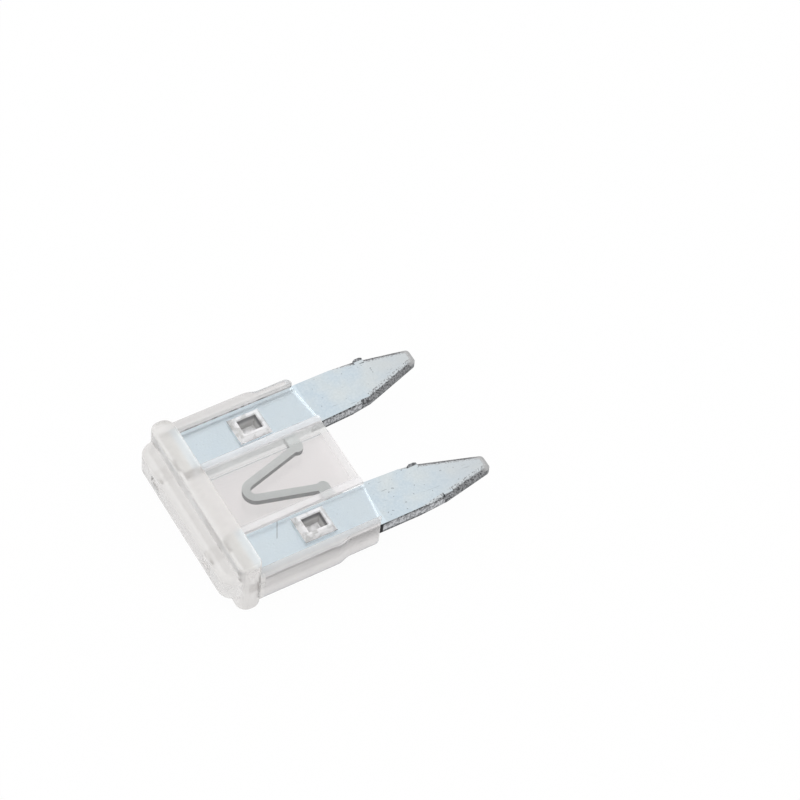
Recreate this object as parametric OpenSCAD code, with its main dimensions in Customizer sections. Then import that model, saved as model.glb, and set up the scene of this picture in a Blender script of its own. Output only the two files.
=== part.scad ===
// Mini blade fuse, lying on its back: blades along +X, width along Y, thickness along Z.
// The origin is under the middle of the whole fuse, on the surface that the head's collar lies on.

/* [Housing] */
// Length of the housing, from the end of the head to the ends of the two columns
body_l = 9.65; // [9.25:0.05:12]
// Overall width of the housing
body_w = 10.9; // [10.8:0.05:12]
// Width of the housing over the slim ends of the columns
skirt_w = 10.4; // [10.35:0.01:10.8]
// Length of the slim ends of the columns
skirt_l = 2.2; // [1:0.1:3.5]
// Length over which the width eases from the full to the slim
skirt_ease = 1.0; // [0.4:0.1:1.6]
// Corner radius at the free end of each column
skirt_corner_r = 0.35; // [0.1:0.05:0.45]
// How far the free end of each column falls back towards its outer side
end_fall = 0.36; // [0.1:0.02:0.5]
// Thickness of a column over its outer rib
column_t = 2.1; // [1.8:0.05:2.6]
// Gap between the two columns, which the web closes
column_gap = 4.1; // [3.6:0.05:4.3]
// Width of the outer rib beside each window
outer_rib_w = 0.6; // [0.45:0.05:0.8]
// Width of the inner rib beside each window
inner_rib_w = 0.45; // [0.3:0.05:0.7]
// How much lower the inner rib stands than the outer one, on each face
inner_rib_drop = 0.2; // [0:0.05:0.3]
// Thickness of the thin wall over each blade
window_wall = 0.2; // [0.15:0.05:0.3]
// Thickness of each wall of the web
web_wall = 0.28; // [0.2:0.02:0.4]
// Radius along the long edges of the ribs
rib_edge_r = 0.12; // [0.05:0.01:0.2]

/* [Head] */
// Thickness of the collar, the thickest part of the fuse
collar_t = 3.6; // [3.0:0.05:4]
// Width of the collar
collar_w = 10.7; // [10.4:0.05:12]
// Length of the collar along the fuse
collar_l = 1.35; // [1.25:0.05:2]
// Corner radius of the collar, seen from the front
collar_corner_r = 0.6; // [0.4:0.05:0.65]
// Radius along the collar's edges
collar_edge_r = 0.1; // [0.06:0.02:0.3]
// Length of the cap, from the end of the head to the collar
cap_l = 0.8; // [0.6:0.05:1.4]
// Thickness of the cap
cap_t = 1.9; // [1.4:0.05:2.6]
// Width of the cap
cap_w = 10.05; // [9.4:0.05:10.4]
// Corner radius of the cap, seen from the front
cap_corner_r = 0.85; // [0.4:0.05:0.95]
// Radius along the cap's edges
cap_edge_r = 0.4; // [0.1:0.05:0.6]
// Width of each test slot in the end of the head
probe_w = 0.9; // [0.6:0.05:1.2]
// Height of each test slot
probe_t = 0.8; // [0.5:0.05:0.85]
// Distance between the middles of the two test slots
probe_pitch = 5.7; // [5.5:0.05:6.4]

/* [Blades] */
// Length of blade that stands out of the housing
blade_reach = 6.8; // [5:0.05:9]
// Width of each blade
blade_w = 2.8; // [2.6:0.05:2.9]
// Thickness of the stamped strip
blade_t = 0.8; // [0.6:0.05:0.85]
// Distance between the middles of the two blades
blade_pitch = 7.3; // [7.25:0.05:7.35]
// Length of blade inside the housing
blade_hold = 8.3; // [7.9:0.05:8.5]
// Length of the taper on a blade's inner edge
taper_in_l = 3.5; // [2:0.1:4.5]
// Length of the taper on a blade's outer edge
taper_out_l = 3.05; // [2:0.05:4.5]
// How far the inner edge has come in at the tip
taper_in = 1.3; // [0.8:0.05:1.4]
// How far the outer edge has come in at the tip
taper_out = 0.6; // [0.4:0.02:0.8]
// How far the inner edge has come in at its shoulder, where the blades were cut apart
trim_in = 0.16; // [0.05:0.01:0.3]
// Corner radius at the tip
tip_r = 0.22; // [0.1:0.01:0.28]
// Width of the coined bevel round the tip
coin_w = 0.32; // [0.1:0.01:0.34]
// Depth of the coined bevel on each face
coin_d = 0.19; // [0.1:0.01:0.25]
// Length of the burr left where each blade was cut from the strip
nub_l = 0.55; // [0.4:0.05:0.8]
// How far that burr stands out
nub_out = 0.07; // [0.04:0.01:0.12]

/* [Fuse link] */
// Width of the link
link_w = 0.45; // [0.25:0.01:0.6]
// Thickness of the link, thinned from the strip
link_t = 0.36; // [0.2:0.02:0.6]
// Inside radius of the link's bend
link_bend_r = 0.3; // [0.2:0.02:0.4]
// Distance from the ends of the columns back to the link's bend
link_depth = 5.87; // [5.2:0.01:6.6]
// Angle of each limb to the length of the fuse
link_angle = 15.5; // [12:0.5:17]
// Distance from the ends of the columns back to the middle of the link's feet
foot_depth = 1.85; // [1.6:0.05:2.2]
// Width of each foot, where the link joins its blade
foot_w = 0.7; // [0.5:0.01:0.8]

/* [Stakes] */
// Distance from the ends of the columns back to the middle of the stakes
stake_depth = 3.6; // [3.3:0.05:4.2]
// Distance between the middles of the two stakes
stake_pitch = 7.1; // [6.9:0.05:7.5]
// Length of the hole in each blade
hole_l = 1.2; // [0.9:0.05:1.4]
// Width of the hole in each blade
hole_w = 1.0; // [0.8:0.05:1.1]
// Clearance between a stake and its hole, on each side
stake_gap = 0.05; // [0.02:0.01:0.1]
// Width of the raised rim round each stake's pit, at its foot
rim_w = 0.36; // [0.26:0.02:0.4]
// Width of the rim's flat top
rim_top_w = 0.16; // [0.08:0.02:0.24]
// Height of that rim over the window
rim_h = 0.3; // [0.1:0.02:0.38]
// Wall left round the bottom of each pit
pit_wall = 0.2; // [0.15:0.01:0.25]
// Depth of each pit below the blade's face
pit_d = 0.22; // [0.05:0.01:0.25]
// Radius of the round crown on the floor of each pit
crown_r = 0.5; // [0.4:0.02:0.7]
// Height of that crown
crown_h = 0.12; // [0.04:0.02:0.16]

/* [Fit] */
// Clearance between the strip and the housing, on each side
strip_gap = 0.04; // [0.02:0.01:0.06]

/* [Hidden] */
$fn = 48;

// Places along the fuse
x_tip = (body_l + blade_reach) / 2;
x_head = -x_tip;
x_end = x_tip - blade_reach;
x_collar = x_head + cap_l;
x_column = x_collar + collar_l;
x_blade = x_end - blade_hold;
x_stake = x_end - stake_depth;
x_foot = x_end - foot_depth;

// Places across it and up it, each from the middle
z_mid = collar_t / 2;
y_blade = blade_pitch / 2;
y_column_in = column_gap / 2;
y_window_in = y_column_in + inner_rib_w;
y_window_out = body_w / 2 - outer_rib_w;
slot_half_t = blade_t / 2 + strip_gap;
window_half_t = slot_half_t + window_wall;
web_half_t = slot_half_t + web_wall;
inner_rib_half_t = column_t / 2 - inner_rib_drop;
rim_half_t = window_half_t + rim_h;
// The foot of each outer burr stands this far inside the blade's edge
nub_sink = nub_out / 2;

// The sunk root that joins each form to its neighbour
root = 0.3;
eps = 0.01;

// A rectangle with round corners, centred
module soft_rect(l, w, r) {
    square([l - 2 * r, w], center = true);
    square([l, w - 2 * r], center = true);
    for (x = [-1, 1], y = [-1, 1])
        translate([x * (l / 2 - r), y * (w / 2 - r)]) circle(r);
}

// A slab with round corners in plan and round edges, centred on its middle
module soft_slab(l, w, t, corner_r, edge_r) {
    rotate([90, 0, 90]) linear_extrude(l - 2 * corner_r, center = true) soft_rect(w, t, edge_r);
    rotate([90, 0, 0]) linear_extrude(w - 2 * corner_r, center = true) soft_rect(l, t, edge_r);
    for (x = [-1, 1], y = [-1, 1])
        translate([x * (l / 2 - corner_r), y * (w / 2 - corner_r), 0])
            rotate_extrude() intersection() {
                soft_rect(2 * corner_r, t, edge_r);
                translate([0, -t / 2]) square([corner_r, t]);
            }
}

// A beam along X between two places, with round long edges, from its profile's span across and half height
module soft_beam(x0, x1, y0, y1, half_t, r) {
    translate([x0, (y0 + y1) / 2, 0]) rotate([90, 0, 90]) linear_extrude(x1 - x0)
        soft_rect(y1 - y0, 2 * half_t, r);
}

// Half width of the housing at a place along it: full, then easing to the slim end
function ease(u) = u <= 0 ? 0 : u >= 1 ? 1 : u * u * (3 - 2 * u);
function half_width(x) =
    body_w / 2 - (body_w - skirt_w) / 2 * ease((x - (x_end - skirt_l - skirt_ease)) / skirt_ease);

// What lies outside the columns' outline: the eased side, the sloping free end and its round corner
module skirt_cut() {
    steps = 12;
    far = body_w;
    x0 = x_end - skirt_l - skirt_ease;
    y_slim = skirt_w / 2;
    slope = atan2(end_fall, y_slim - y_window_in);
    // The corner's centre is one radius in from the side and one from the sloping end
    y_c = y_slim - skirt_corner_r;
    x_c = x_end - (y_c - y_window_in) * tan(slope) - skirt_corner_r / cos(slope);
    reach = skirt_corner_r + root;
    side = [for (i = [0:steps]) let (x = x0 + skirt_ease * i / steps) [x, half_width(x)]];
    polygon(concat(side, [[x_end + root, y_slim], [x_end + root, far], [x0, far]]));
    polygon([[x_end, y_window_in], [x_end + root, y_window_in], [x_end + root, far],
        [x_end - (far - y_window_in) * tan(slope), far]]);
    difference() {
        polygon([[x_c, y_c], [x_c + reach * cos(slope), y_c + reach * sin(slope)],
            [x_end + root, y_slim + root], [x_c, y_slim + root]]);
        translate([x_c, y_c]) circle(skirt_corner_r);
    }
}

// One column on the +Y side: the outer rib, the inner rib and the thin wall between them
module column() {
    x0 = x_column - root;
    difference() {
        union() {
            soft_beam(x0, x_end, y_window_out, body_w / 2, column_t / 2, rib_edge_r);
            soft_beam(x0, x_end, y_column_in, y_window_in, inner_rib_half_t, rib_edge_r);
            translate([x0, y_column_in + root / 2, -window_half_t])
                cube([x_end - x0, body_w / 2 - y_column_in - root, 2 * window_half_t]);
        }
        translate([0, 0, -column_t]) linear_extrude(2 * column_t) skirt_cut();
    }
}

// A block with sloping sides, from its length and width at each of two heights
module frustum(l0, w0, z0, l1, w1, z1) {
    intersection() {
        rotate([90, 0, 0]) linear_extrude(max(w0, w1), center = true)
            polygon([[-l0 / 2, z0], [l0 / 2, z0], [l1 / 2, z1], [-l1 / 2, z1]]);
        rotate([90, 0, 90]) linear_extrude(max(l0, l1), center = true)
            polygon([[-w0 / 2, z0], [w0 / 2, z0], [w1 / 2, z1], [-w1 / 2, z1]]);
    }
}

// A stake: the post through the blade's hole, and the raised rim round its pit on one face
module stake() {
    foot_l = hole_l + 2 * rim_w;
    foot_w = hole_w + 2 * rim_w;
    translate([x_stake, stake_pitch / 2, 0]) {
        translate([-foot_l / 2, -foot_w / 2, 0]) cube([foot_l, foot_w, window_half_t]);
        frustum(foot_l, foot_w, window_half_t,
            hole_l + 2 * rim_top_w, hole_w + 2 * rim_top_w, rim_half_t);
    }
}

// The pit that the tool left over a stake, wide at its mouth, with a low crown on its floor
module stake_pit() {
    z_floor = blade_t / 2 - pit_d;
    translate([x_stake, stake_pitch / 2, 0]) difference() {
        frustum(hole_l - 2 * pit_wall, hole_w - 2 * pit_wall, z_floor, hole_l, hole_w, rim_half_t);
        translate([0, 0, z_floor + crown_h - crown_r]) sphere(crown_r);
    }
}

// The space for one blade, from the free end up to its head end, less the stake
module blade_space() {
    half_w = blade_w / 2 + strip_gap;
    difference() {
        translate([x_blade - strip_gap, y_blade - half_w, -slot_half_t])
            cube([blade_hold + strip_gap + root, 2 * half_w, 2 * slot_half_t]);
        translate([x_stake, stake_pitch / 2, 0])
            linear_extrude(4 * slot_half_t, center = true)
                square([hole_l - 2 * stake_gap, hole_w - 2 * stake_gap], center = true);
    }
}

module housing() {
    cap_run = cap_l + collar_l - root / 2;
    y_strip_in = y_blade - blade_w / 2;
    color([0.93, 0.94, 0.95, 0.45]) translate([0, 0, z_mid]) difference() {
        union() {
            // The cap runs back into the collar
            translate([x_head + cap_run / 2, 0, 0])
                soft_slab(cap_run, cap_w, cap_t, cap_corner_r, cap_edge_r);
            translate([x_collar + collar_l / 2, 0, 0])
                soft_slab(collar_l, collar_w, collar_t, collar_corner_r, collar_edge_r);
            for (side = [0, 1]) mirror([0, side, 0]) {
                column();
                for (face = [0, 1]) mirror([0, 0, face]) stake();
            }
            // The web between the columns
            translate([x_column - root, -y_column_in - root / 2, -web_half_t])
                cube([x_end - x_column + root, 2 * y_column_in + root, 2 * web_half_t]);
        }
        for (side = [0, 1]) mirror([0, side, 0]) {
            blade_space();
            for (face = [0, 1]) mirror([0, 0, face]) stake_pit();
            // The test slot, from the end of the head to the blade
            translate([x_head - root, probe_pitch / 2 - probe_w / 2, -probe_t / 2])
                cube([x_blade - x_head + root, probe_w, probe_t]);
        }
        // The space for the link, as deep as the spaces for the blades and open at the free end
        translate([x_blade - strip_gap, -y_strip_in, -slot_half_t])
            cube([x_end - x_blade + strip_gap + root, 2 * y_strip_in, 2 * slot_half_t]);
    }
}

// Points of a round corner at a place, between the directions in which its two sides leave it
function round_corner(at, to_a, to_b, r, steps = 3) =
    let (
        half = acos(to_a * to_b) / 2,
        mid = (to_a + to_b) / norm(to_a + to_b),
        centre = at + mid * r / sin(half),
        start = at + to_a * r / tan(half) - centre,
        sweep = (180 - 2 * half) * sign(start[0] * mid[1] - start[1] * mid[0])
    ) [
        for (i = [0:steps]) let (turn = -sweep * i / steps, c = cos(turn), s = sin(turn))
            centre + [start[0] * c - start[1] * s, start[0] * s + start[1] * c]
    ];

// The tapered end of the +Y blade, from its inner shoulder round the tip to its outer shoulder
function tip_outline() =
    let (
        a = y_blade - blade_w / 2,
        b = y_blade + blade_w / 2,
        in_0 = [x_tip - taper_in_l, a + trim_in],
        in_1 = [x_tip, a + taper_in],
        out_0 = [x_tip - taper_out_l, b],
        out_1 = [x_tip, b - taper_out]
    )
    concat(
        [in_0],
        round_corner(in_1, (in_0 - in_1) / norm(in_0 - in_1), [0, 1], tip_r),
        round_corner(out_1, [0, -1], (out_0 - out_1) / norm(out_0 - out_1), tip_r),
        [out_0]
    );

// How far the bevel along one edge carries on past a shoulder until it runs out of the straight side
function run_out(p, q) = coin_w * norm(q - p) / abs(q[1] - p[1]);

// What one run of the coined bevel takes off both faces, along an edge with the blade on its left.
// It runs on past each end by the lengths given, so that it meets the next run.
module coin_run(p, q, before, after) {
    over = 1.2;
    run = q - p;
    low = blade_t / 2 - coin_d;
    high = low + over * coin_d;
    translate([p[0], p[1], 0]) rotate(atan2(run[1], run[0])) translate([-before, 0, 0])
        rotate([90, 0, 90]) linear_extrude(before + norm(run) + after)
            for (face = [0, 1]) mirror([0, face])
                polygon([[-root, low], [0, low], [over * coin_w, high], [-root, high]]);
}

// The burr at a shoulder, standing out along +Y from the upper half of the edge that it is placed on
module nub() {
    linear_extrude(blade_t / 2)
        polygon([[-nub_l / 2, -root], [-nub_l / 2, 0], [-nub_l / 4, nub_out],
            [nub_l / 4, nub_out], [nub_l / 2, 0], [nub_l / 2, -root]]);
}

module blade() {
    a = y_blade - blade_w / 2;
    b = y_blade + blade_w / 2;
    tip = tip_outline();
    last = len(tip) - 1;
    difference() {
        linear_extrude(blade_t, center = true)
            polygon(concat([[x_blade, b], [x_blade, a], [x_end, a]], tip));
        for (i = [1:last])
            coin_run(tip[i - 1], tip[i], i > 1 ? coin_w : run_out(tip[0], tip[1]),
                i < last ? coin_w : run_out(tip[last - 1], tip[last]));
        translate([x_stake, stake_pitch / 2, 0]) linear_extrude(2 * blade_t, center = true)
            square([hole_l, hole_w], center = true);
    }
    translate([tip[0][0] - nub_l / 2, tip[0][1], 0]) mirror([0, 1, 0]) nub();
    translate([x_tip - taper_out_l + nub_l / 4, b - nub_sink, 0]) nub();
}

// The link: a round bend, two straight limbs, and a foot that runs into each blade
module link() {
    r_out = link_bend_r + link_w;
    r_mid = link_bend_r + link_w / 2;
    x_bend = x_end - link_depth + r_out;
    // Each limb leaves the bend where it is tangent to it
    x_limb = x_bend - r_mid * sin(link_angle);
    y_limb = r_mid * cos(link_angle);
    limb_l = (x_foot - x_limb) / cos(link_angle);
    y_foot = y_limb + limb_l * sin(link_angle);
    far = 2 * r_out;
    linear_extrude(link_t, center = true) {
        difference() {
            translate([x_bend, 0]) circle(r_out);
            translate([x_bend, 0]) circle(link_bend_r);
            // What lies past the two tangent points, less a hair that joins the limbs
            translate([x_bend + eps, 0]) polygon([[0, 0], [-far * sin(link_angle), far * cos(link_angle)],
                [far, far], [far, -far], [-far * sin(link_angle), -far * cos(link_angle)]]);
        }
        for (side = [0, 1]) mirror([0, side]) {
            translate([x_limb, y_limb]) rotate(link_angle) translate([0, -link_w / 2])
                square([limb_l, link_w]);
            translate([x_foot, y_foot]) circle(foot_w / 2);
            translate([x_foot - foot_w / 2, y_foot])
                square([foot_w, y_blade - blade_w / 2 - y_foot + root]);
        }
    }
}

module fuse_element() {
    color([0.76, 0.81, 0.84]) translate([0, 0, z_mid]) {
        for (side = [0, 1]) mirror([0, side, 0]) blade();
        link();
    }
}

housing();
fuse_element();
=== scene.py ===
# %% [markdown]
# # A mini blade fuse with a clear housing
#
# This notebook dresses a fuse that already exists as exact solids: a clear moulded housing, and one stamped
# metal strip that is both blades and the thin V between them. The solids come in as a fixed frame, in
# metres, with the blades along +X, the width along Y and the thickness along Z. The shapes stay as they are.
# What is added is light, a camera, and a finish each for the plastic and the metal.

import bpy
from mathutils import Matrix, Vector

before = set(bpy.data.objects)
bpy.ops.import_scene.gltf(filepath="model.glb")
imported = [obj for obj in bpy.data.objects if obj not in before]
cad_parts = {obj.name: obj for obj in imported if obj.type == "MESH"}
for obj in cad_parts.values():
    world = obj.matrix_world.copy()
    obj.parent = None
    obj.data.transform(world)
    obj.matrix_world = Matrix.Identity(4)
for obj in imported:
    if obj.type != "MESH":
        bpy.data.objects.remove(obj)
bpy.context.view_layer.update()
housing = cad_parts["housing"]
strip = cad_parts["fuse_element"]
MM = 0.001

# %% [markdown]
# ## Helpers for colours and nodes
#
# Colours are written as the sRGB hex values that a paint chart or a picture editor shows. Blender works with
# linear light, so one function turns them. A second one adds a node to a material with its settings and its
# links, which keeps each material short enough to read.

# %% Colour and node helpers


def linear(hex_colour):
    """An sRGB hex value as linear RGBA."""
    channels = [int(hex_colour[i:i + 2], 16) / 255 for i in (1, 3, 5)]
    return tuple(c / 12.92 if c <= 0.04045 else ((c + 0.055) / 1.055) ** 2.4 for c in channels) + (1.0,)


def add_node(tree, kind, settings=None, **inputs):
    """A new node. Settings are its own options; inputs are values, or sockets of other nodes to link."""
    node = tree.nodes.new(kind)
    for name, value in (settings or {}).items():
        setattr(node, name, value)
    for name, value in inputs.items():
        key = int(name[1:]) if name[1:].isdigit() else name.replace("_", " ")
        socket = node.inputs[key]
        if isinstance(value, bpy.types.NodeSocket):
            tree.links.new(value, socket)
        else:
            socket.default_value = value
    return node


def new_material(name):
    """An empty material: itself, its tree, and its output node."""
    material = bpy.data.materials.new(name)
    material.use_nodes = True
    material.node_tree.nodes.clear()
    return material, material.node_tree, material.node_tree.nodes.new("ShaderNodeOutputMaterial")


print("linear value of mid grey:", [round(c, 3) for c in linear("#808080")[:3]])

# %% [markdown]
# ## Helpers for masks
#
# Both finishes change from place to place: a rib is milkier than a window, and a sheared edge is darker than
# a face. A mask is a number from 0 to 1 that says where. Masks are built from the place on the part in
# millimetres, so they sit where the real feature is and don't depend on how the surface is cut into faces.

# %% Mask helpers


def math_node(tree, operation, first, second=0.0, third=0.0):
    """The result of one sum on numbers or sockets."""
    node = add_node(tree, "ShaderNodeMath", {"operation": operation}, _0=first, _1=second, _2=third)
    return node.outputs[0]


def ramp(tree, value, start, end, low=0.0, high=1.0):
    """A smooth change from low to high while a value goes from start to end."""
    return add_node(tree, "ShaderNodeMapRange", {"interpolation_type": "SMOOTHSTEP"},
                    Value=value, From_Min=start, From_Max=end, To_Min=low, To_Max=high).outputs[0]


def past(tree, value, start, end):
    """A smooth change from 0 to 1 while a place in metres goes from start to end, both in mm."""
    return ramp(tree, value, start * MM, end * MM)


def band(tree, value, start, end, soft):
    """1 while a place in metres lies between two places in mm, falling to 0 over a soft width outside."""
    return both(tree, past(tree, value, start - soft, start), past(tree, value, end + soft, end))


def both(tree, *masks):
    """The product of masks: 1 only where all of them are. A plain number among them scales the rest."""
    result = masks[0]
    for mask in masks[1:]:
        result = math_node(tree, "MULTIPLY", result, mask)
    return result


def either(tree, *masks):
    """The largest of masks: 1 where any of them is."""
    result = masks[0]
    for mask in masks[1:]:
        result = math_node(tree, "MAXIMUM", result, mask)
    return result


def other(tree, mask):
    """The rest: 1 where a mask is 0."""
    return math_node(tree, "SUBTRACT", 1.0, mask)


print("a mask helper takes its places in mm; one mm is", MM, "m")

# %% [markdown]
# ## Helpers for patterns
#
# Patterns need a place to grow from, and object coordinates keep them still on the part. Their scale comes
# from the size of the real grain, pit or cloud, so a stretch of it can be checked against a ruler.

# %% Pattern helpers


def blend(tree, factor, first, second):
    """Two colours mixed by a factor. Each is a hex value or a socket."""
    first, second = (linear(c) if isinstance(c, str) else c for c in (first, second))
    return add_node(tree, "ShaderNodeMix", {"data_type": "RGBA"}, _0=factor, _6=first, _7=second).outputs[2]


def place_on_part(tree):
    """The place on the part as a vector, and its three parts, in metres."""
    place = add_node(tree, "ShaderNodeTexCoord").outputs["Object"]
    parts = add_node(tree, "ShaderNodeSeparateXYZ", Vector=place)
    return place, parts.outputs["X"], parts.outputs["Y"], parts.outputs["Z"]


def facing(tree):
    """How far the surface faces along X, Y and Z of the part, each from -1 to 1."""
    normal = add_node(tree, "ShaderNodeTexCoord").outputs["Normal"]
    return add_node(tree, "ShaderNodeSeparateXYZ", Vector=normal).outputs


def noise(tree, place, size_mm, detail=2.0, stretch=(1.0, 1.0, 1.0)):
    """Even noise from 0 to 1 with grains of about one size, drawn out along an axis by a small stretch."""
    place = add_node(tree, "ShaderNodeMapping", Vector=place, Scale=stretch).outputs["Vector"]
    grains = add_node(tree, "ShaderNodeTexNoise", Vector=place, Scale=1.0 / (size_mm * MM), Detail=detail)
    return grains.outputs["Fac"]


print("a grain of 1 mm has a noise scale of", round(1.0 / MM))

# %% [markdown]
# ## The camera
#
# The fuse is seen from above its near side through a long lens. The real one had tipped onto the points of
# its blades, and here it lies level, so the camera takes up that tilt: its directions to the right and up
# are written out, and it is rolled by a few degrees.

# %% Camera
CAMERA_AT_MM = Vector((-53.798, -80.156, 138.653))
CAMERA_RIGHT = Vector((0.86220, -0.50045, 0.07847))
CAMERA_UP = Vector((0.36411, 0.71994, 0.59086))
LENS_MM = 140.77
SENSOR_MM = 36.0
CLIP_M = (0.01, 10.0)

camera_data = bpy.data.cameras.new("camera")
camera = bpy.data.objects.new("camera", camera_data)
bpy.context.scene.collection.objects.link(camera)
camera_back = CAMERA_RIGHT.cross(CAMERA_UP)
turn = Matrix((CAMERA_RIGHT, CAMERA_UP, camera_back)).transposed()
camera.matrix_world = Matrix.Translation(CAMERA_AT_MM * MM) @ turn.to_4x4()
camera_data.lens = LENS_MM
camera_data.sensor_width = SENSOR_MM
camera_data.clip_start, camera_data.clip_end = CLIP_M
bpy.context.scene.camera = camera
print("camera looks along", [round(-c, 3) for c in camera_back])

# %% [markdown]
# ## The floor
#
# The fuse lies on a white sheet in a light tent. A white tent is what makes clear plastic readable: it shows
# pale all over, with grey only where it bends the view towards something darker. The sheet glows almost
# white to the camera, and a little less to mirrors and through plastic, so the plastic stands out from it.
# The rest of its shading is matt paper, which takes a soft shadow.

# %% Floor
GLOW_TO_EYE = 0.97
GLOW_THROUGH_PLASTIC = 0.7
FLOOR_M = 2.0

bpy.ops.object.select_all(action="DESELECT")
bpy.ops.mesh.primitive_plane_add(size=FLOOR_M, location=(0, 0, 0))
floor = bpy.context.object
floor.name = "floor"
paper, tree, output = new_material("white_paper_sheet")
glow = add_node(tree, "ShaderNodeEmission", Color=linear("#FFFFFF"), Strength=1.0)
matt = add_node(tree, "ShaderNodeBsdfDiffuse", Color=linear("#F2F0F0"))
ways = add_node(tree, "ShaderNodeLightPath").outputs
to_eye = math_node(tree, "MULTIPLY", ways["Is Camera Ray"], GLOW_TO_EYE)
bent = either(tree, ways["Is Glossy Ray"], ways["Is Transmission Ray"])
share = either(tree, to_eye, math_node(tree, "MULTIPLY", bent, GLOW_THROUGH_PLASTIC))
mix = add_node(tree, "ShaderNodeMixShader", _0=share, _1=matt.outputs[0], _2=glow.outputs[0])
tree.links.new(mix.outputs[0], output.inputs["Surface"])
floor.data.materials.append(paper)
print("floor at z =", floor.location.z)

# %% [markdown]
# ## The tent
#
# The tent itself is the world: white from every side, so it needs no lamp of its own.

# %% Tent
TENT_LEVEL = 1.0

world = bpy.data.worlds.new("light_tent")
bpy.context.scene.world = world
world.use_nodes = True
world.node_tree.nodes.clear()
tent = add_node(world.node_tree, "ShaderNodeBackground", Color=linear("#FFFFFF"), Strength=TENT_LEVEL)
add_node(world.node_tree, "ShaderNodeOutputWorld", Surface=tent.outputs[0])
print("tent level:", TENT_LEVEL)

# %% [markdown]
# ## The lamp
#
# One large soft lamp stands above and behind the head, as a window beside a bench would. It lifts the tops
# a little above the sides and lays the faint shadow towards the viewer.

# %% Lamp
LAMP_AT_MM = Vector((-60.0, 90.0, 160.0))
LAMP_SIZE_MM = 120.0
LAMP_WATTS = 0.04

lamp_data = bpy.data.lights.new("key_lamp", "AREA")
lamp_data.size = LAMP_SIZE_MM * MM
lamp_data.energy = LAMP_WATTS
lamp = bpy.data.objects.new("key_lamp", lamp_data)
bpy.context.scene.collection.objects.link(lamp)
lamp.location = LAMP_AT_MM * MM
lamp.rotation_euler = (-LAMP_AT_MM).to_track_quat("-Z", "Y").to_euler()
print("key lamp:", lamp_data.energy, "W")

# %% [markdown]
# ## The clear plastic: where it changes
#
# The housing is injection-moulded from a clear engineering plastic. The mould is polished where the window
# over each blade must be clear. Ribs, stakes and the head come out slightly milky. Each of these places is a
# mask here. `across` counts from the middle, so most masks serve both halves. The ribs, the stakes and the
# edges of the web are found by their height too, so only the upper face has their haze.

# %% Places on the housing
EDGE_MM = 0.02
HEAD_ALONG = (-6.1, -6.14)
CAP_ALONG = (-7.5, -7.6)
HEAD_END = (4.9, 5.3)
OUTER_RIB = (4.85, 5.5)
INNER_RIB = (2.0, 2.5)
RIB_UP = (2.4, 2.5)
WEB_SIDE = (2.35, 2.25)
WALL_SIDE = (4.8, 5.1)
WINDOW_ACROSS = (2.52, 4.83)
WINDOW_UP = (1.0, 2.5)
POCKET_UP = (1.3, 2.3)
POCKET_SIDE = (5.14, 5.12)
STEEP = (0.6, 0.9)

clear_plastic, tree, output = new_material("clear_moulded_polyamide")
place, along, sideways, up = place_on_part(tree)
across = math_node(tree, "ABSOLUTE", sideways)
steep = ramp(tree, math_node(tree, "ABSOLUTE", facing(tree)["Y"]), *STEEP)
head = past(tree, along, *HEAD_ALONG)
cap = past(tree, along, *CAP_ALONG)
head_end = both(tree, head, past(tree, across, *HEAD_END))
columns = other(tree, head)
web = past(tree, across, *WEB_SIDE)
wall = past(tree, across, *WALL_SIDE)
window_up = band(tree, up, *WINDOW_UP, soft=0.05)
window = both(tree, columns, band(tree, across, *WINDOW_ACROSS, soft=0.03), window_up)
pocket = both(tree, band(tree, up, *POCKET_UP, soft=EDGE_MM), past(tree, across, *POCKET_SIDE))
above = both(tree, columns, past(tree, up, *RIB_UP))
inner_rib = both(tree, band(tree, across, *INNER_RIB, soft=0.05), above)
outer_rib = both(tree, band(tree, across, *OUTER_RIB, soft=0.05), above)
print("housing faces:", len(housing.data.polygons))

# %% [markdown]
# Two smaller places follow the ribs. The foot of each outer rib gets a dark broken line of painted shade, in
# the corner where the window meets it. The web is milky for about half a millimetre beside each inner rib,
# more so on the far side.

# %% Places beside the ribs
RIB_FOOT_ACROSS = (4.65, 4.9)
RIB_FOOT_UP = (2.4, 2.55)
WEB_EDGE = (1.55, 2.04)
WEB_EDGE_FADE = 0.4
WEB_TOP = (2.2, 2.25)
NEAR_SHARE = 0.35

foot_across = band(tree, across, *RIB_FOOT_ACROSS, soft=0.05)
# The foot of each outer rib gets a dark line of painted shade, where rib and window meet.
rib_foot_shade = both(tree, columns, steep, band(tree, up, *RIB_FOOT_UP, soft=0.04), foot_across)
beside_rib = band(tree, across, *WEB_EDGE, soft=WEB_EDGE_FADE)
web_edge = both(tree, columns, beside_rib, past(tree, up, *WEB_TOP))
web_edge = both(tree, web_edge, ramp(tree, sideways, -MM, MM, NEAR_SHARE, 1.0))
print("feet of the outer ribs at", RIB_FOOT_ACROSS, "mm from the middle")

# %% [markdown]
# A grey streak of painted shade runs along the long wall, where the plastic seems to pipe light. It begins
# beside the head, widens towards the free end, and is darkest along its upper edge, a painted shadow line,
# which steps down with the slimmer end of the wall. One wall of the real fuse shows it, and both walls get
# it here.

# %% The streak in each wall
STREAK_TOP = 2.7
STREAK_START = -6.6
STREAK_SLOPE = 0.07
STREAK_DROP = 0.24
DROP_ALONG = (-2.2, -0.8)
STREAK_FADE = (-0.45, 0.25)
STREAK_LINE = (-0.16, -0.03)
STREAK_HEAD_END = (-6.4, -5.9)
STREAK_FREE_END = (1.4, 0.6)
UNDER_TOP = (0.04, -0.04)
WALL_FACE = (4.95, 5.05)

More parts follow.
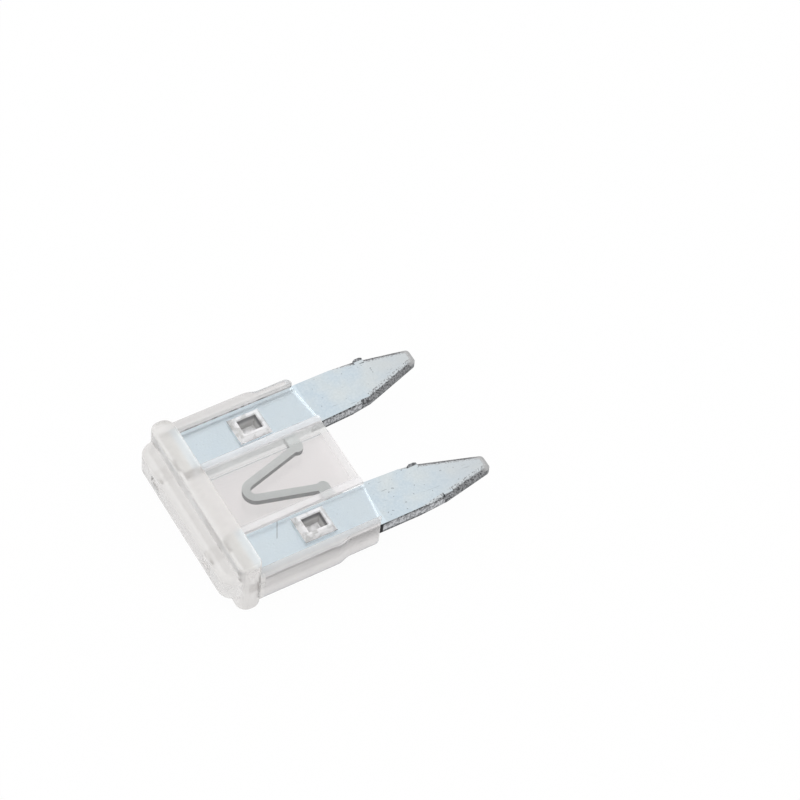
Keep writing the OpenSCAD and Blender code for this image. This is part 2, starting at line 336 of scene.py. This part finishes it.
wall_face = both(tree, steep, columns, past(tree, across, *WALL_FACE))
drop = ramp(tree, along, DROP_ALONG[0] * MM, DROP_ALONG[1] * MM, 0.0, STREAK_DROP * MM)
height = math_node(tree, "ADD", math_node(tree, "SUBTRACT", up, STREAK_TOP * MM), drop)
from_start = math_node(tree, "SUBTRACT", along, STREAK_START * MM)
over_foot = math_node(tree, "MULTIPLY_ADD", from_start, STREAK_SLOPE, height)
streak_ends = both(tree, past(tree, along, *STREAK_HEAD_END), past(tree, along, *STREAK_FREE_END))
under_top = past(tree, height, *UNDER_TOP)
# The streak is painted shade, and the line along its upper edge is a painted shadow.
streak = both(tree, wall_face, under_top, past(tree, over_foot, *STREAK_FADE), streak_ends)
painted_shadow_line = both(tree, wall_face, band(tree, height, *STREAK_LINE, soft=0.08), streak_ends)
print("streak under z =", STREAK_TOP, "mm")

# %% [markdown]
# Each stake was squeezed through its blade by a hot tool. That left a frosted rim round a pit, and a rough
# crown on the pit's floor. The pit's walls are darkened with painted shade, most towards the top.

# %% Places on the stakes
STAKE_ALONG = -2.175
STAKE_ACROSS = 3.55
RIM_HALF = (0.95, 0.85)
RIM_UP = (2.44, 2.48)
PIT_HALF = (0.56, 0.46)
PIT_FLOOR = (1.95, 2.0)
PIT_TOP = (2.7, 2.6)
CROWN_HALF = (0.45, 0.35)
CROWN_UP = (1.93, 2.12)
SHEER = (0.7, 0.5)


def box_mask(tree, along_half, across_half):
    """1 inside a rectangle round the middle of a stake."""
    lengthways = band(tree, along, STAKE_ALONG - along_half, STAKE_ALONG + along_half, soft=EDGE_MM)
    crossways = band(tree, across, STAKE_ACROSS - across_half, STAKE_ACROSS + across_half, soft=EDGE_MM)
    return both(tree, lengthways, crossways)


sheer = ramp(tree, math_node(tree, "ABSOLUTE", facing(tree)["Z"]), *SHEER)
pit_depth = both(tree, past(tree, up, *PIT_FLOOR), past(tree, up, *PIT_TOP))
# The steep walls of each pit, which get painted shade.
shaded_pit_wall = both(tree, box_mask(tree, *PIT_HALF), pit_depth, sheer)
rim = both(tree, box_mask(tree, *RIM_HALF), past(tree, up, *RIM_UP))
crown_up = band(tree, up, *CROWN_UP, soft=EDGE_MM)
crown = both(tree, box_mask(tree, *CROWN_HALF), crown_up, other(tree, sheer))
stake = either(tree, rim, crown)
print("stakes at", STAKE_ALONG, "and plus or minus", STAKE_ACROSS, "mm")

# %% [markdown]
# ## The clear plastic: its haze
#
# Haze is the share of light that the skin scatters instead of letting through. Light meets it once, on the
# way in, so it counts only on faces that are met from outside. A slow cloud keeps it from looking sprayed
# on. The windows and the pockets behind them stay clear, apart from the stakes and the rib feet. Where two
# places meet, the stronger haze wins.

# %% Haze
BASE_HAZE = 0.12
HEAD_HAZE = 0.38
HEAD_END_HAZE = 0.6
WALL_HAZE = 0.5
INNER_RIB_HAZE = 0.5
WEB_EDGE_HAZE = 0.36
STAKE_HAZE = 0.7
FOOT_HAZE = 0.45
PIT_HAZE = 0.8
HAZE_CLOUD_MM = 1.2
HAZE_CLOUD_RANGE = (0.2, 0.8, 0.9, 1.1)

broad = ((head, HEAD_HAZE), (head_end, HEAD_END_HAZE), (either(tree, wall, outer_rib), WALL_HAZE),
         (inner_rib, INNER_RIB_HAZE), (web_edge, WEB_EDGE_HAZE))
small = ((stake, STAKE_HAZE), (rib_foot_shade, FOOT_HAZE), (shaded_pit_wall, PIT_HAZE))
haze = BASE_HAZE
for mask, amount in broad:
    haze = either(tree, both(tree, mask, amount), haze)
haze = both(tree, haze, ramp(tree, noise(tree, place, HAZE_CLOUD_MM), *HAZE_CLOUD_RANGE))
haze = both(tree, haze, other(tree, either(tree, window, pocket)))
for mask, amount in small:
    haze = either(tree, both(tree, mask, amount), haze)
outside = other(tree, add_node(tree, "ShaderNodeNewGeometry").outputs["Backfacing"])
haze = both(tree, haze, outside)
print("clouds in the haze:", HAZE_CLOUD_MM, "mm")

# %% [markdown]
# ## The clear plastic: its tints
#
# Each milky place has a tint of its own, matched to how it looks in the photograph. Later ones lie over
# earlier ones. Some are painted shade: the grey streak and its line, the dark rib feet and the dark pit
# walls.
# The stakes are worn unevenly, so two tints mix there in patches, and the painted shade at the rib feet is
# patchy too.

# %% Tints of the plastic
CLEAR_TINT, WEB_TINT, HAZE_TINT = "#FFFFFF", "#F9F7F7", "#CCC9C7"
HEAD_TINT, CAP_TINT, HEAD_END_TINT = "#EAE8E6", "#E2E0DE", "#DEDCDA"
WALL_TINT, STREAK_SHADE_TINT, SHADOW_LINE_TINT = "#DBD8D7", "#B4B1B0", "#9C9A99"
WEB_EDGE_TINT, INNER_RIB_TINT = "#EEEFEE", "#F6F5F6"
STAKE_TINTS = ("#DAD9D8", "#FCFBFC")
FOOT_SHADE_TINTS = ("#6C6C6E", "#B4B3B3")
PIT_SHADE_TINTS = ("#CCCBCA", "#78787A")
PIT_DARKENS = (2.25, 2.5)
WORN_MM = 0.4
WORN_RANGE = (0.38, 0.55)

worn = ramp(tree, noise(tree, place, WORN_MM), *WORN_RANGE)
tint = blend(tree, web, CLEAR_TINT, WEB_TINT)
tint = blend(tree, haze, tint, HAZE_TINT)
column_wall = both(tree, wall, columns)
# Of these layers, the streak and its line are painted shade.
layers = ((head, HEAD_TINT), (cap, CAP_TINT), (head_end, HEAD_END_TINT), (column_wall, WALL_TINT),
          (streak, STREAK_SHADE_TINT), (painted_shadow_line, SHADOW_LINE_TINT), (web_edge, WEB_EDGE_TINT))
for mask, layer in layers:
    tint = blend(tree, both(tree, mask, outside), tint, layer)
tint = blend(tree, inner_rib, tint, INNER_RIB_TINT)
tint = blend(tree, stake, tint, blend(tree, worn, *STAKE_TINTS))
# Painted shade at the rib feet, broken into patches.
tint = blend(tree, rib_foot_shade, tint, blend(tree, worn, *FOOT_SHADE_TINTS))
# Painted shade on the pit walls, darker towards the top.
tint = blend(tree, shaded_pit_wall, tint, blend(tree, past(tree, up, *PIT_DARKENS), *PIT_SHADE_TINTS))
print("worn patches:", WORN_MM, "mm")

# %% [markdown]
# ## The clear plastic: its skin
#
# The refractive index is a typical one for clear polyamide. The head is the deepest plastic and a little
# frosted, so what lies inside it shows only softly. A slight warm absorption tints the long ways through it.

# %% Skin and body
IOR_POLYAMIDE = 1.57
POLISH = 0.02
HAZE_ROUGHNESS = 0.4
HEAD_FROST = 0.25
ABSORPTION_PER_M = 5.0
BODY_TINT = "#D8D2CE"

roughness = math_node(tree, "MULTIPLY_ADD", haze, HAZE_ROUGHNESS, POLISH)
roughness = either(tree, roughness, both(tree, head, outside, HEAD_FROST))
skin = add_node(tree, "ShaderNodeBsdfPrincipled", Base_Color=tint, Roughness=roughness, IOR=IOR_POLYAMIDE,
                Transmission_Weight=other(tree, haze))
body = add_node(tree, "ShaderNodeVolumeAbsorption", Color=linear(BODY_TINT), Density=ABSORPTION_PER_M)
tree.links.new(skin.outputs[0], output.inputs["Surface"])
tree.links.new(body.outputs[0], output.inputs["Volume"])
housing.data.materials.clear()
housing.data.materials.append(clear_plastic)
print("materials on the housing:", [slot.name for slot in housing.material_slots])

# %% [markdown]
# ## The plated strip: where it changes
#
# The strip is stamped from zinc alloy and plated. Its two faces are satin. Its sides are sheared, so they
# are burnished where the punch went in and torn where the metal let go. The bevels round the tips are
# coined, and the link between the blades is thinned and dull.

# %% Places on the strip
BLADE_TOP = 2.2
BLADE_MIDDLE = 1.8
IN_HOUSING = (1.475, 1.375)
BLADE_IN_HEAD = (-6.2, -6.4)
LINK_SIDE = (2.24, 2.2)
LINK_ALONG = (0.9, 0.8)
ROOT_ALONG = (1.04, 1.2)
ROOT_SIDE = (4.7, 4.8)
SIDE_FACING = (0.5, 0.15)
BEVEL_FACING = ((0.97, 0.9), (0.3, 0.5))
TAPER_FACING = (0.08, 0.16)

zinc, tree, output = new_material("plated_zinc_alloy")
place, along, sideways, up = place_on_part(tree)
across = math_node(tree, "ABSOLUTE", sideways)
flat = math_node(tree, "ABSOLUTE", facing(tree)["Z"])
side = ramp(tree, flat, *SIDE_FACING)
bevel = both(tree, ramp(tree, flat, *BEVEL_FACING[0]), ramp(tree, flat, *BEVEL_FACING[1]))
shaded_taper = both(tree, side, ramp(tree, facing(tree)["X"], *TAPER_FACING))
# Inside the housing the faces are painted brighter: painted light.
painted_light_inside = past(tree, along, *IN_HOUSING)
in_head = past(tree, along, *BLADE_IN_HEAD)
link = both(tree, past(tree, across, *LINK_SIDE), past(tree, along, *LINK_ALONG))
# Where the outer side enters the housing: a painted shadow goes here.
root_shadow = both(tree, band(tree, along, *ROOT_ALONG, soft=0.06), past(tree, across, *ROOT_SIDE))
print("strip faces:", len(strip.data.polygons))

# %% [markdown]
# The cut-off burrs at the shoulders are raw metal: nothing plated them after the blades were parted.

# %% Places of the burrs
INNER_BURR = (4.17, 4.73)
INNER_BURR_SIDE = (2.56, 2.52)
OUTER_BURR = (5.04, 5.6)
OUTER_BURR_SIDE = (4.88, 4.92)

inner_along = band(tree, along, *INNER_BURR, soft=EDGE_MM)
outer_along = band(tree, along, *OUTER_BURR, soft=EDGE_MM)
inner_burr = both(tree, inner_along, past(tree, across, *INNER_BURR_SIDE))
outer_burr = both(tree, outer_along, past(tree, across, *OUTER_BURR_SIDE))
burr = either(tree, inner_burr, outer_burr)
print("burrs along the blades, in mm:", INNER_BURR, OUTER_BURR)

# %% [markdown]
# ## The plated strip: marks on its faces
#
# Zinc plating is never quite even. Broad clouds, a fine grain, a few pits and short scratches along the
# blade make up the face, and each is noise at the size of the real mark. One blade has a single fine scuff
# under its window, which slants across it.

# %% Marks on the faces
PLATING_CLOUD_MM, PLATING_CLOUD_RANGE = 1.6, (0.35, 0.65)
GRAIN_MM, GRAIN_RANGE = 0.12, (0.3, 0.75)
PIT_MM, PIT_RANGE = 0.16, (0.72, 0.77)
SCRATCH_MM, SCRATCH_RANGE = 0.08, (0.82, 0.87)
SCRATCH_STRETCH = (0.12, 1.0, 1.0)
SCUFF_SLANT = 0.552
SCUFF_ALONG = (-2.45, -2.41)
SCUFF_ACROSS = (-3.3, -2.4)
SCUFF_UP = (2.1, 2.15)

scuff_place = math_node(tree, "MULTIPLY_ADD", sideways, -SCUFF_SLANT, along)
scuff_length = both(tree, band(tree, sideways, *SCUFF_ACROSS, soft=0.1), past(tree, up, *SCUFF_UP))
scuff = both(tree, band(tree, scuff_place, *SCUFF_ALONG, soft=0.03), scuff_length)
clouds = ramp(tree, noise(tree, place, PLATING_CLOUD_MM, detail=3.0), *PLATING_CLOUD_RANGE)
grain = ramp(tree, noise(tree, place, GRAIN_MM, detail=4.0), *GRAIN_RANGE)
pits = ramp(tree, noise(tree, place, PIT_MM, detail=1.0), *PIT_RANGE)
streaky = noise(tree, place, SCRATCH_MM, detail=0.0, stretch=SCRATCH_STRETCH)
scratch = ramp(tree, streaky, *SCRATCH_RANGE)
print("grain of the plating:", GRAIN_MM, "mm")

# %% [markdown]
# ## The plated strip: colours of its faces
#
# The plating is bluish, and greyer towards the tips. Inside the housing it is painted brighter and bluer, as
# painted light on the blade seen through the clear plastic. The link is a dull grey, and its far limb is the
# paler one.

# %% Colours of the faces
CLOUD_COLOURS = ("#C6D3DC", "#D1D8DA")
GRAIN_COLOUR, GRAIN_SHARE = "#E2EAEE", 0.35
PIT_COLOUR, PIT_SHARE = "#6E7377", 0.6
SCRATCH_COLOUR, SCRATCH_SHARE = "#8A9195", 0.5
TIP_COLOUR, TIP_SHARE = "#CBCDCE", 0.6
TIP_FADE = (3.5, 8.0)
INSIDE_LIGHT_COLOUR, INSIDE_LIGHT_SHARE = "#DDEAF2", 0.75
SCUFF_COLOUR, SCUFF_SHARE = "#7F888E", 0.55
FACE_PAINTED_PALE_IN_HEAD = "#E8E8E6"
LINK_COLOURS = ("#BEC5C4", "#CFD5D4")
FAR_LIMB = (-0.2, 1.4)

face = blend(tree, clouds, *CLOUD_COLOURS)
# The inside entry among these marks is painted light that brightens the blade under the clear plastic.
marks = ((grain, GRAIN_SHARE, GRAIN_COLOUR), (pits, PIT_SHARE, PIT_COLOUR),
         (scratch, SCRATCH_SHARE, SCRATCH_COLOUR), (past(tree, along, *TIP_FADE), TIP_SHARE, TIP_COLOUR),
         (painted_light_inside, INSIDE_LIGHT_SHARE, INSIDE_LIGHT_COLOUR), (scuff, SCUFF_SHARE, SCUFF_COLOUR))
for mask, share, mark in marks:
    face = blend(tree, both(tree, mask, share), face, mark)
# The blade's end inside the head is painted the pale grey of the frosted plastic over it: painted light that
# hides the metal.
face = blend(tree, in_head, face, FACE_PAINTED_PALE_IN_HEAD)
face = blend(tree, link, face, blend(tree, past(tree, sideways, *FAR_LIMB), *LINK_COLOURS))
print("kinds of mark on the faces:", len(marks))

# %% [markdown]
# ## The plated strip: its bevels
#
# Each bevel is bright along the blade's face, where the die pressed it smooth. It is dark towards the
# middle of the blade's thickness, where the metal broke up. At the very tip it is an even grey.

# %% Bevels
SPECK_MM, SPECK_RANGE = 0.09, (0.4, 0.52)
BEVEL_BREAK = (0.29, 0.33)
PRESSED_COLOURS = ("#96989B", "#D2D8DB")
BROKEN_COLOURS = ("#4E4F51", "#8E8F91")
VERY_TIP = (7.6, 8.0)
VERY_TIP_COLOUR, VERY_TIP_SHARE = "#BCBCBC", 0.8

specks = ramp(tree, noise(tree, place, SPECK_MM, detail=3.0), *SPECK_RANGE)
off_middle = math_node(tree, "ABSOLUTE", math_node(tree, "SUBTRACT", up, BLADE_MIDDLE * MM))
pressed = blend(tree, specks, *PRESSED_COLOURS)
broken = blend(tree, specks, *BROKEN_COLOURS)
coined = blend(tree, past(tree, off_middle, *BEVEL_BREAK), broken, pressed)
coined = blend(tree, both(tree, past(tree, along, *VERY_TIP), VERY_TIP_SHARE), coined, VERY_TIP_COLOUR)
print("specks on the bevels:", SPECK_MM, "mm")

# %% [markdown]
# ## The plated strip: its sides
#
# The torn part of a side lies just under the upper face, in dark specks. The middle is burnished, and the
# lowest part is a duller grey. The tapered sides are darkened all over with painted shade, and the outer
# side has a nearly black painted shadow just inside the housing's open end. A side seen through the housing
# is painted pale, and one inside the head a flat beige-grey, both painted light seen through the plastic;
# the link's are dull.

# %% Sides
TORN_MM, TORN_RANGE = 0.1, (0.42, 0.58)
TORN_STRETCH = (1.0, 1.0, 0.6)
TORN_DEPTH = 0.16
TORN_FADE = 0.08
BURNISHED_COLOURS = ("#9A9C9F", "#D2D4D7")
TORN_COLOURS = ("#3A3C3E", "#A3A5A8")
LOWER_EDGE = (1.6, 1.5)
LOWER_COLOURS = ("#5E6063", "#8C8E91")
TAPER_SHADE_COLOURS = ("#626466", "#A0A2A4")
ROOT_SHADOW_COLOUR = "#2C2C2E"
SEEN_THROUGH = (1.0, 0.9)
# Sides seen through the housing and inside the head are painted light-toned: painted light seen through the
# plastic.
SIDE_PAINTED_PALE, SIDE_PAINTED_GREY_IN_HEAD, LINK_SIDE_COLOUR = "#F2F5F6", "#C4C0BD", "#6C7071"
BURR_COLOURS = ("#5A5B5D", "#A3A5A8")

torn = ramp(tree, noise(tree, place, TORN_MM, detail=3.0, stretch=TORN_STRETCH), *TORN_RANGE)
torn_edge = BLADE_TOP - TORN_DEPTH
under_face = past(tree, up, torn_edge - TORN_FADE, torn_edge + TORN_FADE)
sheared = blend(tree, under_face, blend(tree, torn, *BURNISHED_COLOURS), blend(tree, torn, *TORN_COLOURS))
sheared = blend(tree, past(tree, up, *LOWER_EDGE), sheared, blend(tree, torn, *LOWER_COLOURS))
# The tapered sides get painted shade.
sheared = blend(tree, shaded_taper, sheared, blend(tree, torn, *TAPER_SHADE_COLOURS))
# The first cover is a painted shadow at the root; the next two are painted light seen through the plastic.
covers = ((root_shadow, ROOT_SHADOW_COLOUR), (past(tree, along, *SEEN_THROUGH), SIDE_PAINTED_PALE),
          (in_head, SIDE_PAINTED_GREY_IN_HEAD), (link, LINK_SIDE_COLOUR))
for mask, cover in covers:
    sheared = blend(tree, mask, sheared, cover)
colour = blend(tree, bevel, face, coined)
colour = blend(tree, side, colour, sheared)
colour = blend(tree, burr, colour, blend(tree, torn, *BURR_COLOURS))
print("torn depth under the face:", TORN_DEPTH, "mm")

# %% [markdown]
# ## The plated strip: its shader
#
# It is all metal, so one metallic shader carries it. The sides are rougher than the faces. The grain and
# the pits are also a shallow relief in the shading, at most two hundredths of a millimetre deep.

# %% Metal
FACE_ROUGHNESS = 0.34
SIDE_EXTRA_ROUGHNESS = 0.2
RELIEF_MM = 0.02
RELIEF_STRENGTH = 0.25

roughness = math_node(tree, "MULTIPLY_ADD", side, SIDE_EXTRA_ROUGHNESS, FACE_ROUGHNESS)
dents = math_node(tree, "SUBTRACT", grain, pits)
relief = add_node(tree, "ShaderNodeBump", Strength=RELIEF_STRENGTH, Distance=RELIEF_MM * MM, Height=dents)
metal = add_node(tree, "ShaderNodeBsdfPrincipled", Base_Color=colour, Metallic=1.0, Roughness=roughness,
                 Normal=relief.outputs[0])
tree.links.new(metal.outputs[0], output.inputs["Surface"])
strip.data.materials.clear()
strip.data.materials.append(zinc)
print("materials on the strip:", [slot.name for slot in strip.material_slots])

# %% [markdown]
# ## Light paths and the view
#
# Light crosses many surfaces in this housing: two skins, the gaps round the blades, and the walls that pipe
# it along. Too few bounces would cut those paths short and leave black lines that no real fuse shows.

# %% Light paths
paths = bpy.context.scene.cycles
paths.max_bounces = 32
paths.glossy_bounces = 24
paths.transmission_bounces = 24
paths.diffuse_bounces = 6
bpy.context.scene.view_settings.view_transform = "Standard"
print("bounces:", paths.max_bounces)
